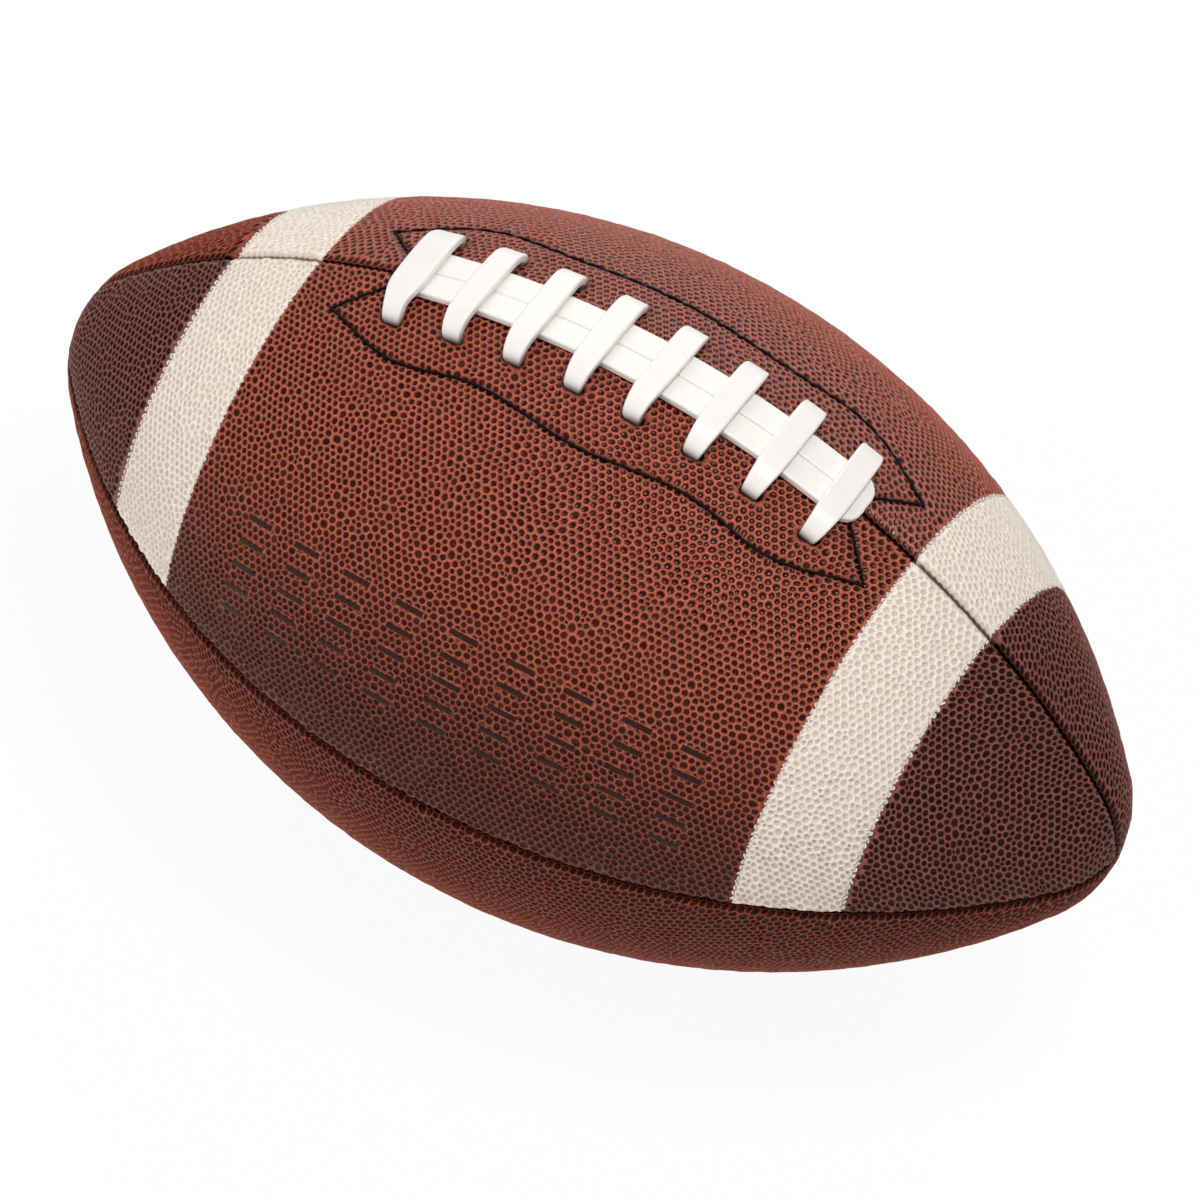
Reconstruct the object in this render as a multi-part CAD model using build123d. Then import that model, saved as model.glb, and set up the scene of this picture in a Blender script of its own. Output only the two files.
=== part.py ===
from build123d import *
import math
import os

# American football. Millimetres, X along the ball, Z up through the laces, Y to the back.
# The origin is the middle of the ball. Each end is round, and one arc joins the two ends.
BALL_LENGTH = 280.0
BALL_DIAMETER = 160.8
NOSE_RADIUS = 28.5

# Cover: leather panels with turned-in edges, each laminated to a lining
LEATHER = 2.0
LINING = 1.2
LAYER_GAP = 0.1
SEAM_GAP = 0.3
SEAM_ALLOWANCE = 7.0
SEAM_ROLL = 2.2
PIECE_GAP = 0.1

# Seam thread, one line of lockstitch on each side of a turned-in seam
SEAM_THREAD = 1.0
SEAM_THREAD_DEPTH = 4.6
SEAM_THREAD_GAP = 0.15

# Stripes on the two lace panels: middle from the nearer tip, lean in degrees
LEFT_STRIPE_FROM_TIP = 48.1
LEFT_STRIPE_LEAN = -0.75
RIGHT_STRIPE_FROM_TIP = 53.1
RIGHT_STRIPE_LEAN = 2.5
STRIPE_WIDTH = 21.5
STRIPE_STITCH_INSET = 1.2

# Sewing thread that lies on the leather
STITCH_WIDTH = 0.8
STITCH_HEIGHT = 0.45
STITCH_LENGTH = 4.0
STITCH_PITCH = 5.0
STITCH_LIFT = 0.05

# Lace: a vinyl strip, in bars across the seam and doubled along it
BAR_COUNT = 8
BAR_PITCH = 15.75
LACE_WIDTH = 6.6
LACE_THICKNESS = 2.0
LACE_GAP = 0.15
LANE_GAP = 0.3
SLOT_FROM_SEAM = 14.3
SLOT_CLEARANCE = 0.25
BAR_SHOULDER = 1.9
BAR_TOP_BEND = 8.0
BAR_EDGE = 1.6
BAR_SIDE_BEND = 2.4
LEG_BEND = 1.7
SLIT_END_SPACE = 7.0

# Lace facing: reinforcement sewn behind the slots, its outline half from the seam
FACING = 1.2
FACING_POINT_X = 70.5
FACING_POINT_Y = 14.6
FACING_END_LOBE_X = 50.0
FACING_END_LOBE_Y = 24.4
FACING_WAIST_X = 27.0
FACING_WAIST_Y = 23.8
FACING_FRONT_MIDDLE_Y = 27.4
FACING_BACK_MIDDLE_Y = 25.2
FACING_MARGIN = 3.0

# Lace tongue: a sheet under the lace runs
TONGUE = 1.0
TONGUE_HALF_LENGTH = 70.0

# Bladder and its needle valve, in the back bottom panel
BLADDER = 1.0
BLADDER_GAP = 0.15
VALVE_ANGLE = 225.0
VALVE_NECK_RADIUS = 4.0
VALVE_NECK_RECESS = 0.4
VALVE_FLANGE_RADIUS = 12.0
VALVE_FLANGE = 1.5
VALVE_STEM_RADIUS = 3.4
VALVE_STEM_DEPTH = 17.0
VALVE_CORE_RADIUS = 2.2
VALVE_END_WALL = 1.0
VALVE_GAP = 0.1
NEEDLE_RADIUS = 1.0
NEEDLE_DEPTH = 12.0

# The two tangent arcs of the ball's outline
HALF_LENGTH = BALL_LENGTH / 2
BALL_RADIUS = BALL_DIAMETER / 2
NOSE_CENTRE = HALF_LENGTH - NOSE_RADIUS
SIDE_SPAN = HALF_LENGTH**2 + BALL_RADIUS**2 - 2 * HALF_LENGTH * NOSE_RADIUS
SIDE_RADIUS = SIDE_SPAN / (2 * (BALL_RADIUS - NOSE_RADIUS))
SIDE_CENTRE = BALL_RADIUS - SIDE_RADIUS
NOSE_TURN = math.degrees(math.atan2(-SIDE_CENTRE, NOSE_CENTRE))

# Depths of the layers below the outside of the leather
LINING_TOP = LEATHER + LAYER_GAP
FACING_TOP = LINING_TOP + LINING + LAYER_GAP
FACING_BOTTOM = FACING_TOP + FACING
RUN_MIDDLE = FACING_BOTTOM + LACE_GAP + LACE_THICKNESS / 2
BLADDER_TOP = LINING_TOP + LINING + BLADDER_GAP

# Distances from a seam's middle plane
LEATHER_EDGE = SEAM_GAP / 2
LEATHER_INNER_EDGE = LEATHER_EDGE + LEATHER
THREAD_MIDDLE = LEATHER_INNER_EDGE + SEAM_THREAD_GAP + SEAM_THREAD / 2
LINING_EDGE = THREAD_MIDDLE + SEAM_THREAD / 2 + SEAM_THREAD_GAP
BLADDER_EDGE = LINING_EDGE + BLADDER_GAP

# Lace places along the ball
BAR_X = [(i - (BAR_COUNT - 1) / 2) * BAR_PITCH for i in range(BAR_COUNT)]
LANE_Y = (LACE_WIDTH + LANE_GAP) / 2
SLIT_HALF = BAR_X[-1] + SLIT_END_SPACE
BIG = 2 * BALL_LENGTH


def side_point(x, depth):
    """Height of the ball's side arc above the long axis at x, at a depth below the leather."""
    return math.sqrt((SIDE_RADIUS - depth) ** 2 - x**2) + SIDE_CENTRE


def outline(depth, past=0.0):
    """Half outline from tip to tip in the XZ plane, run past each tip by some degrees."""
    nose = NOSE_RADIUS - depth
    left = CenterArc((-NOSE_CENTRE, 0), nose, 180 + past, -NOSE_TURN - past)
    side = CenterArc((0, SIDE_CENTRE), SIDE_RADIUS - depth, 180 - NOSE_TURN, 2 * NOSE_TURN - 180)
    right = CenterArc((NOSE_CENTRE, 0), nose, NOSE_TURN, -NOSE_TURN - past)
    return Plane.XZ * (left + side + right)


def ball(depth):
    """Solid ball at a depth below the outside of the leather."""
    tip = HALF_LENGTH - depth
    half = make_face(outline(depth) + Line((tip, 0, 0), (-tip, 0, 0)))
    return revolve(half, Axis.X, 360)


def quarter_space(side, level, edge):
    """Box over one quarter of the ball, standing clear of both seam planes by edge."""
    return Pos(0, side * (BIG / 2 + edge), level * (BIG / 2 + edge)) * Box(BIG, BIG, BIG)


def seam_crease():
    """Round groove along the top seam that rolls both leather edges inwards."""
    reach = LEATHER_EDGE + SEAM_ROLL
    corner = math.sqrt(0.5) * SEAM_ROLL
    left = ThreePointArc((-reach, 0), (corner - reach, corner - SEAM_ROLL), (-LEATHER_EDGE, -SEAM_ROLL))
    right = ThreePointArc((LEATHER_EDGE, -SEAM_ROLL), (reach - corner, corner - SEAM_ROLL), (reach, 0))
    floor = Line((-LEATHER_EDGE, -SEAM_ROLL), (LEATHER_EDGE, -SEAM_ROLL))
    lid = Polyline((reach, 0), (reach, LEATHER), (-reach, LEATHER), (-reach, 0))
    path = outline(0, past=20)
    start = path @ 0
    section = Plane(origin=start, x_dir=(0, 1, 0), z_dir=path % 0) * make_face(left + floor + right + lid)
    return sweep(section, path=path)


def stripe_space(middle, lean, width):
    """Slab across the ball at a stripe, leaning in plan."""
    return Pos(middle, 0, 0) * Rot(0, 0, -lean) * Box(width, BIG, BIG)


def end_space(middle, lean, width, end):
    """Everything from a stripe's far edge to the tip at one end."""
    return Pos(middle, 0, 0) * Rot(0, 0, -lean) * Pos(end * (width + BIG) / 2, 0, 0) * Box(BIG, BIG, BIG)


def bar_plane(x):
    """Plane across the ball at a lace bar: local x to the back, local y away from the leather."""
    turn = math.asin(x / SIDE_RADIUS)
    along = (math.cos(turn), 0, -math.sin(turn))
    return Plane(origin=(x, 0, side_point(x, 0)), x_dir=(0, 1, 0), z_dir=along)


def girth_radius(x):
    """Radius of the ball's round in a bar's own plane."""
    return side_point(x, 0) / math.cos(math.asin(x / SIDE_RADIUS))


def on_leg(x, depth):
    """Point on a lace leg, at a depth below the leather, in the bar's plane."""
    radius = girth_radius(x)
    turn = SLOT_FROM_SEAM / radius
    return (radius - depth) * math.sin(turn), (radius - depth) * math.cos(turn) - radius


def lace_strip(plane_x, origin, direction):
    """Cross-section of the lace, square to its direction."""
    plane = Plane(origin=origin, x_dir=plane_x, z_dir=direction)
    return plane * SlotOverall(LACE_WIDTH, LACE_THICKNESS)


def run_end(x, side):
    """Middle of a bar's inner end, where the run under the leather starts."""
    leg_y, leg_z = on_leg(x, RUN_MIDDLE)
    return side * (leg_y - 2 * LEG_BEND), leg_z


def lace_bar(x):
    """One bar: over the long lace, down through both slots and turned in under the facing."""
    top = 1.5 * LACE_THICKNESS + 2 * LACE_GAP
    shoulder_y, shoulder_z = on_leg(x, -BAR_SHOULDER)
    leg_y, leg_z = on_leg(x, RUN_MIDDLE)
    half = [(2 * LANE_Y + BAR_EDGE, top), (shoulder_y, shoulder_z), (leg_y, leg_z), run_end(x, 1)]
    points = [(-y, z) for y, z in reversed(half)] + half
    bends = [LEG_BEND, BAR_SIDE_BEND, BAR_TOP_BEND, BAR_TOP_BEND, BAR_SIDE_BEND, LEG_BEND]
    plane = bar_plane(x)
    path = plane * FilletPolyline(*points, radius=bends)
    return sweep(lace_strip(plane.z_dir, path @ 0, path % 0), path=path)


def lace_run(x_front, x_back):
    """Slanting run under the facing, from one bar's front leg to the next bar's back leg."""
    ends = []
    for x, side in ((x_front, -1), (x_back, 1)):
        plane = bar_plane(x)
        ends.append(lace_strip(plane.z_dir, plane.from_local_coords(run_end(x, side)), (0, 1, 0)))
    return loft(ends, ruled=True)


def leg_slot(x, side):
    """Slot for one lace leg through leather, lining and facing."""
    plane = bar_plane(x)
    leg_y, leg_z = on_leg(x, 0)
    deep_y, deep_z = on_leg(x, FACING_BOTTOM)
    mouth = plane.from_local_coords((side * leg_y, leg_z))
    inside = plane.from_local_coords((side * deep_y, deep_z))
    width = LACE_WIDTH + 2 * SLOT_CLEARANCE
    thickness = LACE_THICKNESS + 2 * SLOT_CLEARANCE
    slot = Plane(origin=mouth, x_dir=plane.z_dir, z_dir=mouth - inside)
    return extrude(slot * SlotOverall(width, thickness), FACING_BOTTOM + LEATHER, both=True)


def tuck_line(lift):
    """Side view of the long lace: along the top, then down under the first bar."""
    radius = SIDE_RADIUS + lift
    first = math.asin((BAR_X[0] + LACE_THICKNESS / 2) / radius)
    last = math.asin(BAR_X[-1] / radius)
    top = CenterArc((0, SIDE_CENTRE), radius, 90 - math.degrees(last), math.degrees(last - first))
    turn = JernArc(top @ 1, top % 1, lift, 90)
    leg = Line(turn @ 1, turn @ 1 + (turn % 1) * (FACING_BOTTOM + LACE_GAP))
    return Plane.XZ * (top + turn + leg)


def facing_points(side_middle, margin):
    """Outer edge of the lace facing from point to point, as x and distance from the seam."""
    half = [
        (FACING_POINT_X + margin, FACING_POINT_Y),
        (FACING_END_LOBE_X, FACING_END_LOBE_Y + margin),
        (FACING_WAIST_X, FACING_WAIST_Y + margin),
    ]
    left = [(-x, y) for x, y in half]
    return left + [(0, side_middle + margin)] + half[::-1]


def facing_space(side, side_middle):
    """Column over the facing's outline on one side of the seam."""
    points = [(x, side * y) for x, y in facing_points(side_middle, FACING_MARGIN)]
    first = (points[0][0] + FACING_POINT_Y - LINING_EDGE, side * LINING_EDGE)
    last = (points[-1][0] - FACING_POINT_Y + LINING_EDGE, side * LINING_EDGE)
    inner = Polyline(points[-1], last, first, points[0])
    return extrude(make_face(Spline(*points) + inner), BIG, dir=(0, 0, 1))


def stitch_row(line):
    """Stitch outlines spaced along one line, in plan."""
    count = max(1, round((line.length - STITCH_PITCH + STITCH_LENGTH) / STITCH_PITCH))
    places = [line.location_at((i + 0.5) / count) for i in range(count)]
    plans = []
    for place in places:
        heading = line.tangent_at(line.param_at_point(place.position))
        plane = Plane(origin=place.position, x_dir=heading, z_dir=(0, 0, 1))
        plans.append(plane * Rectangle(STITCH_LENGTH, STITCH_WIDTH))
    return plans


def facing_stitch_columns(side, side_middle):
    """Columns over the stitches round the facing, from one end of the laces to the other."""
    points = [(x, side * y) for x, y in facing_points(side_middle, 0)]
    lace_side = side * (2 * LANE_Y + STITCH_WIDTH)
    inner = FACING_POINT_X - FACING_POINT_Y + 2 * LANE_Y
    lines = [
        Line((-inner, lace_side), points[0]),
        Spline(*points),
        Line(points[-1], (inner, lace_side)),
    ]
    plans = [plan for line in lines for plan in stitch_row(line)]
    return [extrude(plan, BIG, dir=(0, 0, 1)) for plan in plans]


def seam_thread_line(side, start, end):
    """Thread path beside the top seam between two places along the ball."""
    radius = SIDE_RADIUS - SEAM_THREAD_DEPTH
    turns = [math.degrees(math.asin(x / radius)) for x in (start, end)]
    arc = CenterArc((0, SIDE_CENTRE), radius, 90 - turns[0], turns[0] - turns[1])
    return Pos(0, side * THREAD_MIDDLE, 0) * (Plane.XZ * arc)


def thread_tube(path):
    """Round thread along a path."""
    start = Plane(origin=path @ 0, z_dir=path % 0)
    return sweep(start * Circle(SEAM_THREAD / 2), path=path)


def seam_thread(start, end):
    """Both lines of lockstitch along the top seam between two places."""
    lines = [seam_thread_line(side, start, end) for side in (-1, 1)]
    return [thread_tube(line) for line in lines]


def lace_pocket(depth, half_length):
    """Space above a sheet that follows the top of the ball lengthwise and is flat across it."""
    ends = [(x, side_point(x, depth)) for x in (-half_length, 0, half_length)]
    lid = Polyline(ends[2], (half_length, BALL_LENGTH), (-half_length, BALL_LENGTH), ends[0])
    side_view = Plane.XZ * make_face(ThreePointArc(*ends) + lid)
    return extrude(side_view, BALL_DIAMETER, both=True)


def bladder_form(sheet_bottom, shrink):
    """Closed form of the bladder, drawn in all over by shrink."""
    form = ball(SEAM_ALLOWANCE + BLADDER_GAP + shrink)
    lobe_ball = ball(BLADDER_TOP + shrink)
    for side in SIDES.values():
        for level in LEVELS.values():
            form = form + (lobe_ball & quarter_space(side, level, BLADDER_EDGE + shrink))
    under = sheet_bottom + BLADDER_GAP + shrink
    half_length = FACING_POINT_X + FACING_MARGIN + BLADDER_GAP + shrink
    half_width = max(FACING_MIDDLES.values()) + FACING_MARGIN + BLADDER_GAP + shrink
    over_facings = Pos(0, 0, BIG / 2) * Box(2 * half_length, 2 * half_width, BIG)
    over_facings = over_facings - ball(FACING_BOTTOM + BLADDER_GAP + shrink)
    return form - lace_pocket(under, half_length) - over_facings


def valve_cylinder(radius, bottom, top):
    """Round bar on the valve's axis, between two depths below the leather."""
    turn = math.radians(VALVE_ANGLE)
    out = Plane(origin=(0, 0, 0), z_dir=(0, -math.sin(turn), math.cos(turn)))
    middle = BALL_RADIUS - (bottom + top) / 2
    return out * (Pos(0, 0, middle) * Cylinder(radius, bottom - top))


def save(name, shape):
    """Write one node."""
    solids = shape if isinstance(shape, list) else shape.solids()
    export_step(solids[0] if len(solids) == 1 else Compound(children=solids), f"parts/{name}.step")


os.makedirs("parts", exist_ok=True)
SIDES = {"front": -1, "back": 1}
LEVELS = {"top": 1, "bottom": -1}
STRIPES = {
    "left": (LEFT_STRIPE_FROM_TIP - HALF_LENGTH, LEFT_STRIPE_LEAN, -1),
    "right": (HALF_LENGTH - RIGHT_STRIPE_FROM_TIP, RIGHT_STRIPE_LEAN, 1),
}
FACING_MIDDLES = {"front": FACING_FRONT_MIDDLE_Y, "back": FACING_BACK_MIDDLE_Y}

# Layers as whole balls
outside = ball(0)
inside_leather = ball(LEATHER)
inside_seams = ball(SEAM_ALLOWANCE)
lining_layer = ball(LINING_TOP) - ball(LINING_TOP + LINING)
facing_layer = ball(FACING_TOP) - ball(FACING_BOTTOM)
stitch_layer = ball(-STITCH_LIFT - STITCH_HEIGHT) - ball(-STITCH_LIFT)

# Cutters
crease = seam_crease()
creases = [Rot(turn, 0, 0) * crease for turn in (0, 90, 180, 270)]
slit_space = Pos(0, 0, BIG / 2) * Box(2 * SLIT_HALF, 2 * LEATHER_INNER_EDGE + LEATHER, BIG)
slit_pocket = inside_leather & slit_space
valve_hole = valve_cylinder(VALVE_NECK_RADIUS + VALVE_GAP, BALL_RADIUS / 2, -LEATHER)
tuck_path = tuck_line(LACE_GAP + LACE_THICKNESS / 2)

# Laces
bars = [lace_bar(x) for x in BAR_X]
runs = [lace_run(a, b) for a, b in zip(BAR_X, BAR_X[1:])]
cross_lace = bars[0].fuse(*bars[1:], *runs)
save("cross_lace", cross_lace)
print("gap between lace bars", round(BAR_PITCH - LACE_WIDTH, 2), "mm")

lanes = []
for side in (-1, 1):
    lane_path = Pos(0, side * LANE_Y, 0) * tuck_path
    lanes.append(sweep(lace_strip((0, 1, 0), lane_path @ 0, lane_path % 0), path=lane_path))
turn_start = tuck_path @ 0
turn_plane = bar_plane(BAR_X[-1])
turn_section = lace_strip((0, 1, 0), turn_start + Vector(0, -LANE_Y, 0), tuck_path % 0)
lace_turn = revolve(turn_section, Axis(turn_start, turn_plane.y_dir), 180)
long_lace = lanes[0].fuse(lanes[1], lace_turn)
save("long_lace", long_lace)

tuck_slots = {}
for name, side in SIDES.items():
    lane_path = Pos(0, side * LANE_Y, 0) * tuck_path
    foot = lane_path @ 1
    plane = Plane(origin=foot, x_dir=(0, 1, 0), z_dir=lane_path % 1)
    width = LACE_WIDTH + 2 * SLOT_CLEARANCE
    thickness = LACE_THICKNESS + 2 * SLOT_CLEARANCE
    tuck_slots[name] = extrude(plane * SlotOverall(width, thickness), 2 * FACING_BOTTOM, both=True)

# Panels, linings and what is sewn to them
for side_name, side in SIDES.items():
    for level_name, level in LEVELS.items():
        name = f"{side_name}_{level_name}"
        panel = (outside & quarter_space(side, level, LEATHER_EDGE)) - inside_seams
        panel = panel - (inside_leather & quarter_space(side, level, LEATHER_INNER_EDGE))
        panel = panel - creases
        lining = lining_layer & quarter_space(side, level, LINING_EDGE)
        if level > 0:
            slots = [leg_slot(x, side) for x in BAR_X] + [tuck_slots[side_name]]
            panel = panel - slit_pocket - slots
            lining = lining - slots
            facing = (facing_layer & facing_space(side, FACING_MIDDLES[side_name])) - slots
            save(f"{side_name}_lace_facing", facing)
            columns = facing_stitch_columns(side, FACING_MIDDLES[side_name])
            save(f"{side_name}_facing_stitches", [stitch_layer & column for column in columns])
            for end_name, (middle, lean, end) in STRIPES.items():
                stripe = panel & stripe_space(middle, lean, STRIPE_WIDTH - PIECE_GAP)
                tip = panel & end_space(middle, lean, STRIPE_WIDTH + PIECE_GAP, end)
                save(f"{side_name}_{end_name}_stripe", stripe)
                save(f"{side_name}_{end_name}_tip", tip)
                rows = []
                for edge in (-1, 1):
                    inset = edge * (STRIPE_WIDTH / 2 - STRIPE_STITCH_INSET)
                    row = Pos(inset, 0, 0) * stripe_space(middle, lean, STITCH_WIDTH)
                    rows.append(stitch_layer & row & quarter_space(side, level, LEATHER_EDGE + SEAM_ROLL))
                save(f"{side_name}_{end_name}_stripe_stitching", rows)
            for middle, lean, end in STRIPES.values():
                panel = panel - end_space(middle, lean, PIECE_GAP - STRIPE_WIDTH, end)
        if (side, level) == (1, -1):
            panel = panel - valve_hole
            lining = lining - valve_hole
        save(f"{name}_panel", panel)
        save(f"{name}_lining", lining)

# Seam threads: the top seam is sewn only beyond the lace slit
sewn_ends = seam_thread(SLIT_HALF, NOSE_CENTRE) + seam_thread(-NOSE_CENTRE, -SLIT_HALF)
save("top_seam_thread", sewn_ends)
whole_seam = seam_thread(-NOSE_CENTRE, NOSE_CENTRE)
for name, turn in (("front", 90), ("bottom", 180), ("back", 270)):
    save(f"{name}_seam_thread", [Rot(turn, 0, 0) * line for line in whole_seam])

# Tongue under the lace runs, its long edges against the facings
run_depth = max(-on_leg(x, RUN_MIDDLE)[1] for x in BAR_X) + BAR_PITCH**2 / (8 * SIDE_RADIUS)
tongue_top = run_depth + LACE_THICKNESS / 2 + LACE_GAP
tongue_bottom = tongue_top + TONGUE
sheet = lace_pocket(tongue_bottom, TONGUE_HALF_LENGTH) - lace_pocket(tongue_top, 2 * TONGUE_HALF_LENGTH)
save("lace_tongue", sheet & ball(FACING_BOTTOM + LAYER_GAP))

# Bladder: four lobes between the seams over a core that clears them, pressed in under the tongue
bladder = bladder_form(tongue_bottom, 0) - bladder_form(tongue_bottom, BLADDER) - valve_hole
save("bladder", bladder)

# Valve: housing bonded inside the bladder, with a plug that takes the needle
flange_top = BLADDER_TOP + BLADDER + BLADDER_GAP
flange = ball(flange_top) - ball(flange_top + VALVE_FLANGE)
flange = flange & valve_cylinder(VALVE_FLANGE_RADIUS, BALL_RADIUS / 2, 0)
stem_top = flange_top + VALVE_FLANGE / 2
housing = flange + valve_cylinder(VALVE_NECK_RADIUS, stem_top, VALVE_NECK_RECESS)
housing = housing + valve_cylinder(VALVE_STEM_RADIUS, VALVE_STEM_DEPTH, stem_top)
core_end = VALVE_STEM_DEPTH - VALVE_END_WALL
housing = housing - valve_cylinder(VALVE_CORE_RADIUS + VALVE_GAP, core_end, 0)
save("valve_housing", housing)
core = valve_cylinder(VALVE_CORE_RADIUS, core_end - VALVE_GAP, VALVE_NECK_RECESS)
save("valve_core", core - valve_cylinder(NEEDLE_RADIUS, VALVE_NECK_RECESS + NEEDLE_DEPTH, 0))
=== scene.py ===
import math

import bpy
import numpy as np
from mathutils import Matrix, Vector
from mathutils.geometry import delaunay_2d_cdt


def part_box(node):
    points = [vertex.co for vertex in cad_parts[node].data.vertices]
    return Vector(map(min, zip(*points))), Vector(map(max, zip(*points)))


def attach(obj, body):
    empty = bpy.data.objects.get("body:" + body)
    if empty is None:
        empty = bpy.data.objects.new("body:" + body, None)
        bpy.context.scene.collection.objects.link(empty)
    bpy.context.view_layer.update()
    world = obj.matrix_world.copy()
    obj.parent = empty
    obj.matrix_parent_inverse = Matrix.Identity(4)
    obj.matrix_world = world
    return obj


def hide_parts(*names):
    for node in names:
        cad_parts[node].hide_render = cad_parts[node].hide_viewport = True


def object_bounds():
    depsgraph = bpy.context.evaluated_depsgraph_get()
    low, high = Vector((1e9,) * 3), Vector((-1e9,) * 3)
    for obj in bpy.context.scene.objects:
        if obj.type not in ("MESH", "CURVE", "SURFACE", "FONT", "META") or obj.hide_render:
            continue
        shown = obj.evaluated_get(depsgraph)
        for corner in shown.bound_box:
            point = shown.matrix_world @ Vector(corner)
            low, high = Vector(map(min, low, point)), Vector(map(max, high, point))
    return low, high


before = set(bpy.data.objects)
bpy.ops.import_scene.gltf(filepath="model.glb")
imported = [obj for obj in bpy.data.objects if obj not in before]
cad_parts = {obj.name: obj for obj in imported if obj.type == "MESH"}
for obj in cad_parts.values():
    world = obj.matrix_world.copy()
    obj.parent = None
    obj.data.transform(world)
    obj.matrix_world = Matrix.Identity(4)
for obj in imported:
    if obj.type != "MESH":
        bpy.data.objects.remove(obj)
cad_box = [list(corner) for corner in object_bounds()]
bpy.ops.object.select_all(action="DESELECT")

# Bladder and needle valve: a butyl rubber bladder under the cover, with a black rubber plug
# bonded into it. The plug's head shows in a hole of the back bottom panel.
MM = 0.001
BLADDER_BLACK = "#262424"
VALVE_BLACK = "#1c1b1b"
RUBBER_GRIT = 0.6


def colour(hex_code):
    """An sRGB hex value as a linear colour."""
    parts = [int(hex_code[i:i + 2], 16) / 255 for i in (1, 3, 5)]
    linear = [p / 12.92 if p <= 0.04045 else ((p + 0.055) / 1.055) ** 2.4 for p in parts]
    return (*linear, 1.0)


def add_node(tree, kind, settings=(), links=()):
    """Add one shader node, set its inputs or properties, and link sockets to its inputs."""
    node = tree.nodes.new(kind)
    for name, value in dict(settings).items():
        if isinstance(name, int) or name in node.inputs:
            node.inputs[name].default_value = value
        else:
            setattr(node, name, value)
    for name, socket in dict(links).items():
        tree.links.new(socket, node.inputs[name])
    return node


def start_material(name, roughness):
    """A new material with its node tree, its shader and its object coordinates."""
    material = bpy.data.materials.new(name)
    material.use_nodes = True
    tree = material.node_tree
    shader = tree.nodes["Principled BSDF"]
    shader.inputs["Roughness"].default_value = roughness
    place = add_node(tree, "ShaderNodeTexCoord").outputs["Object"]
    return material, tree, shader, place


def dress(node_name, material):
    """Give a CAD node a finish of its own."""
    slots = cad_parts[node_name].data.materials
    slots.clear()
    slots.append(material)


def patterned(tree, shader, hex_code, pattern, share, strength, depth):
    """Let a pattern darken a colour by a share, and raise the surface by a depth in millimetres."""
    shade = add_node(tree, "ShaderNodeMixRGB",
                     {"blend_type": "MULTIPLY", "Fac": share, "Color1": colour(hex_code)},
                     {"Color2": pattern})
    bump = add_node(tree, "ShaderNodeBump", {"Strength": strength, "Distance": depth * MM},
                    {"Height": pattern})
    tree.links.new(shade.outputs["Color"], shader.inputs["Base Color"])
    tree.links.new(bump.outputs["Normal"], shader.inputs["Normal"])
    return shade.outputs["Color"]


def moulded_rubber(name, hex_code):
    """Moulded rubber: matt, with a fine grit from the mould."""
    material, tree, shader, place = start_material(name, 0.7)
    grit = add_node(tree, "ShaderNodeTexNoise", {"Scale": 1 / (RUBBER_GRIT * MM), "Detail": 3.0},
                    {"Vector": place})
    patterned(tree, shader, hex_code, grit.outputs["Fac"], 0.35, 0.25, 0.1)
    return material


dress("bladder", moulded_rubber("butyl_rubber", BLADDER_BLACK))
valve_rubber = moulded_rubber("valve_rubber", VALVE_BLACK)
dress("valve_housing", valve_rubber)
dress("valve_core", valve_rubber)

# Linings, lace facings and tongue: rubber-coated woven cloth laminated behind each panel, and a
# darker coated cloth sewn behind the lace slots and laid under the lace.
LINING_CLOTH = "#b9ad99"
FACING_CLOTH = "#3f3733"
CLOTH_YARN = 0.8
WAVE_SCALE = 0.314


def coated_cloth(name, hex_code):
    """Coated plain weave: two crossing sets of yarns that show through the coating."""
    material, tree, shader, place = start_material(name, 0.75)
    waves = []
    for direction in ("X", "Y"):
        wave = add_node(tree, "ShaderNodeTexWave",
                        {"bands_direction": direction, "Scale": WAVE_SCALE / (CLOTH_YARN * MM),
                         "Distortion": 0.4}, {"Vector": place})
        waves.append(wave.outputs["Fac"])
    weave = add_node(tree, "ShaderNodeMath", {"operation": "MULTIPLY"}, {0: waves[0], 1: waves[1]})
    patterned(tree, shader, hex_code, weave.outputs["Value"], 0.4, 0.4, 0.2)
    return material


lining_cloth = coated_cloth("lining_cloth", LINING_CLOTH)
facing_cloth = coated_cloth("facing_cloth", FACING_CLOTH)
for side in ("front", "back"):
    dress(f"{side}_top_lining", lining_cloth)
    dress(f"{side}_bottom_lining", lining_cloth)
    dress(f"{side}_lace_facing", facing_cloth)
dress("lace_tongue", facing_cloth)

# Panels: four pieces of pebbled leather, cut to a pattern, sewn inside out and turned, so that
# each edge rolls into its seam and puckers there. An embossing plate presses pits into the hide,
# with a small dome in each, and leaves a raised net, so all of these are in the mesh. The pits are
# coloured dark and the net light, partly as the hide's two-tone finish and partly as painted shade
# in the pits and painted light on the ridges.
HALF_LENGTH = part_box("front_right_tip")[1].x / MM
BALL_RADIUS = -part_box("front_bottom_panel")[0].z / MM
NOSE_RADIUS = 28.5
LEATHER = 2.0
SEAM_GAP = 0.3
SEAM_ROLL = 1.5
TURN_IN = 3.0
ROLL_SHARE = 0.35
POLE_GAP = 0.7
MIDDLE_ANGLE = {"front_top": 45, "front_bottom": 135, "back_bottom": 225, "back_top": 315}
SEAM_SIDE = {"front_top": -1, "back_top": 1}
NOSE_CENTRE = HALF_LENGTH - NOSE_RADIUS
SIDE_SPAN = HALF_LENGTH**2 + BALL_RADIUS**2 - 2 * HALF_LENGTH * NOSE_RADIUS
SIDE_RADIUS = SIDE_SPAN / (2 * (BALL_RADIUS - NOSE_RADIUS))
SIDE_CENTRE = BALL_RADIUS - SIDE_RADIUS
SIDE_TURN = math.atan2(NOSE_CENTRE, -SIDE_CENTRE)
SIDE_RUN = SIDE_RADIUS * SIDE_TURN
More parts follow.
